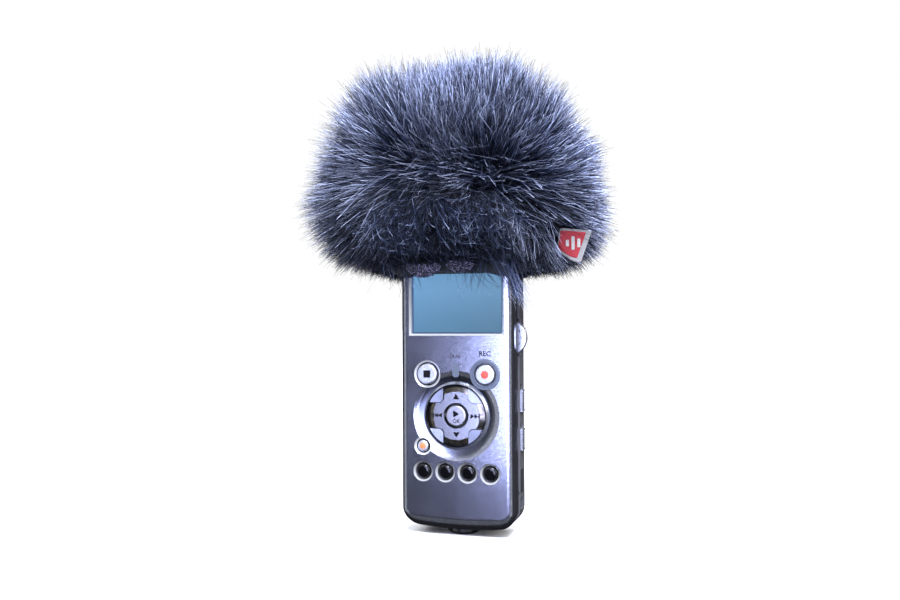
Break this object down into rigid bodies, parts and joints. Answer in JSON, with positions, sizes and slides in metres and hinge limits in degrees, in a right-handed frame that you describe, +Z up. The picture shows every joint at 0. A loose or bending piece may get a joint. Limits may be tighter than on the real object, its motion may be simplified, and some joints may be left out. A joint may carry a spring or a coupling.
{
  "type": "portable field recorder",
  "caption": "Hand-held stereo recorder with a display, round control pad, side wheels and crossed microphones under a fur windshield.",
  "frame": {"origin": "centre of the mouth of the tripod socket, in the middle of the lower end", "axes": "+Z up the recorder towards the microphones, -Y out of the face with the display, +X to the right seen from the front"},
  "size_m": [0.128, 0.09, 0.1971],
  "materials": {
    "silver_paint": "satin silver metallic paint on ABS",
    "dark_shell": "fine matte dark grey",
    "black_plastic": "matte black",
    "satin_key": "satin plated key cap",
    "smoked_chrome": "satin flats with darker bright slopes",
    "gloss_black": "polished black",
    "frosted_lens": "frosted grey-blue light guide",
    "window_glass": "clear hard-coated acrylic",
    "lcd_blue": "pale blue liquid crystal panel",
    "wheel_metal": "fine turned aluminium, fluted rim",
    "board_green": "solder mask",
    "spring_steel": "bright nickel",
    "screw_steel": "black zinc",
    "cell_wrap": "printed metal sleeve, no words",
    "mic_steel": "dark satin nickel",
    "rubber_cover": "soft matte",
    "fur": "long synthetic pile, navy grey with paler tips",
    "mesh_lining": "open black knit",
    "elastic_hem": "ribbed elastic",
    "woven_label": "woven red label with a grey border"
  },
  "bodies": {
    "recorder": {"batteries": "cell_wrap", "battery_contacts": "spring_steel", "battery_springs": "spring_steel", "battery_tray": "black_plastic", "board_components": "black_plastic", "card_socket": "spring_steel", "case_screws": "screw_steel", "display_panel": "lcd_blue", "display_window": "window_glass", "ear_jack": "black_plastic", "front_shell": "silver_paint", "main_board": "board_green", "memory_card": "black_plastic", "mic_bracket": "black_plastic", "mic_capsule_left": "spring_steel", "mic_capsule_right": "spring_steel", "mic_grille_left": "mic_steel", "mic_grille_right": "mic_steel", "mic_housing_left": "mic_steel", "mic_housing_right": "mic_steel", "mic_jack": "black_plastic", "pad_backplate": "black_plastic", "pad_bezel": "satin_key", "pad_corner_blocks": "satin_key", "peak_lens": "frosted_lens", "rear_shell": "dark_shell", "record_level_pot": "black_plastic", "record_light_ring": "frosted_lens", "side_band": "black_plastic", "slide_switch_bodies": "spring_steel", "speaker": "black_plastic", "strap_bar": "spring_steel", "tact_switches": "spring_steel", "tripod_bush": "gloss_black", "usb_port": "spring_steel", "volume_pot": "black_plastic"},
    "stop_key": {"stop_button": "satin_key"},
    "record_key": {"record_button": "satin_key"},
    "function_key": {"function_button": "satin_key"},
    "list_key": {"list_button": "gloss_black"},
    "erase_key": {"erase_button": "gloss_black"},
    "repeat_key": {"repeat_button": "gloss_black"},
    "menu_key": {"menu_button": "gloss_black"},
    "play_key": {"play_button": "satin_key"},
    "pivot_ring": {"rocker_pivot_ring": "black_plastic"},
    "rocker": {"rocker_cap": "smoked_chrome"},
    "level_wheel": {"record_level_dial": "wheel_metal"},
    "volume_wheel": {"volume_dial": "wheel_metal"},
    "mic_sense_slide": {"mic_sense_switch": "wheel_metal"},
    "low_cut_slide": {"low_cut_switch": "wheel_metal"},
    "power_slide": {"power_switch": "wheel_metal"},
    "usb_flap": {"usb_cover": "rubber_cover"},
    "card_flap": {"card_cover": "black_plastic"},
    "battery_flap": {"battery_door": "dark_shell"},
    "latch": {"battery_latch": "black_plastic"},
    "windshield": {"windshield_liner": "mesh_lining", "windshield_fur": "fur", "windshield_elastic": "elastic_hem", "windshield_label": "woven_label"}
  },
  "joints": [
    {"name": "stop_press", "type": "slide", "parent": "recorder", "child": "stop_key", "axis": [0, 1, 0], "range_m": [0, 0.0004], "stiffness_N_per_m": 300},
    {"name": "record_press", "type": "slide", "parent": "recorder", "child": "record_key", "axis": [0, 1, 0], "range_m": [0, 0.0004], "stiffness_N_per_m": 300},
    {"name": "function_press", "type": "slide", "parent": "recorder", "child": "function_key", "axis": [0, 1, 0], "range_m": [0, 0.0004], "stiffness_N_per_m": 300},
    {"name": "list_press", "type": "slide", "parent": "recorder", "child": "list_key", "axis": [0, 1, 0], "range_m": [0, 0.0004], "stiffness_N_per_m": 300},
    {"name": "erase_press", "type": "slide", "parent": "recorder", "child": "erase_key", "axis": [0, 1, 0], "range_m": [0, 0.0004], "stiffness_N_per_m": 300},
    {"name": "repeat_press", "type": "slide", "parent": "recorder", "child": "repeat_key", "axis": [0, 1, 0], "range_m": [0, 0.0004], "stiffness_N_per_m": 300},
    {"name": "menu_press", "type": "slide", "parent": "recorder", "child": "menu_key", "axis": [0, 1, 0], "range_m": [0, 0.0004], "stiffness_N_per_m": 300},
    {"name": "play_press", "type": "slide", "parent": "recorder", "child": "play_key", "axis": [0, 1, 0], "range_m": [0, 0.0004], "stiffness_N_per_m": 300},
    {"name": "rocker_left_right", "type": "hinge", "parent": "recorder", "child": "pivot_ring", "pos_m": [0, -0.0096, 0.0493], "axis": [0, 0, 1], "range_deg": [-1.8, 1.8], "stiffness_Nm_per_rad": 0.02},
    {"name": "rocker_up_down", "type": "hinge", "parent": "pivot_ring", "child": "rocker", "pos_m": [0, -0.0096, 0.0493], "axis": [1, 0, 0], "range_deg": [-1.8, 1.8], "stiffness_Nm_per_rad": 0.02},
    {"name": "record_level_turn", "type": "hinge", "parent": "recorder", "child": "level_wheel", "pos_m": [0.0196, 0.0018, 0.081], "axis": [0, 1, 0], "range_deg": [-150, 150]},
    {"name": "volume_turn", "type": "hinge", "parent": "recorder", "child": "volume_wheel", "pos_m": [-0.0196, 0.0018, 0.0753], "axis": [0, 1, 0], "range_deg": [-150, 150]},
    {"name": "mic_sense_slide", "type": "slide", "parent": "recorder", "child": "mic_sense_slide", "axis": [0, 0, 1], "range_m": [0, 0.002]},
    {"name": "low_cut_slide", "type": "slide", "parent": "recorder", "child": "low_cut_slide", "axis": [0, 0, 1], "range_m": [0, 0.002]},
    {"name": "power_slide", "type": "slide", "parent": "recorder", "child": "power_slide", "axis": [0, 0, 1], "range_m": [0, 0.002]},
    {"name": "usb_cover_hinge", "type": "hinge", "parent": "recorder", "child": "usb_flap", "pos_m": [0.02345, 0.0036, 0.0171], "axis": [0, 1, 0], "range_deg": [0, 95]},
    {"name": "card_cover_hinge", "type": "hinge", "parent": "recorder", "child": "card_flap", "pos_m": [-0.02345, -0.0039, 0.0313], "axis": [0, 0, -1], "range_deg": [0, 100]},
    {"name": "battery_door_hinge", "type": "hinge", "parent": "recorder", "child": "battery_flap", "pos_m": [0, 0.01065, 0.01335], "axis": [-1, 0, 0], "range_deg": [0, 100]},
    {"name": "battery_latch_slide", "type": "slide", "parent": "recorder", "child": "latch", "axis": [0, 0, 1], "range_m": [0, 0.002], "stiffness_N_per_m": 100},
    {"name": "windshield_pull", "type": "slide", "parent": "recorder", "child": "windshield", "axis": [0, 0, 1], "range_m": [0, 0.06]}
  ]
}
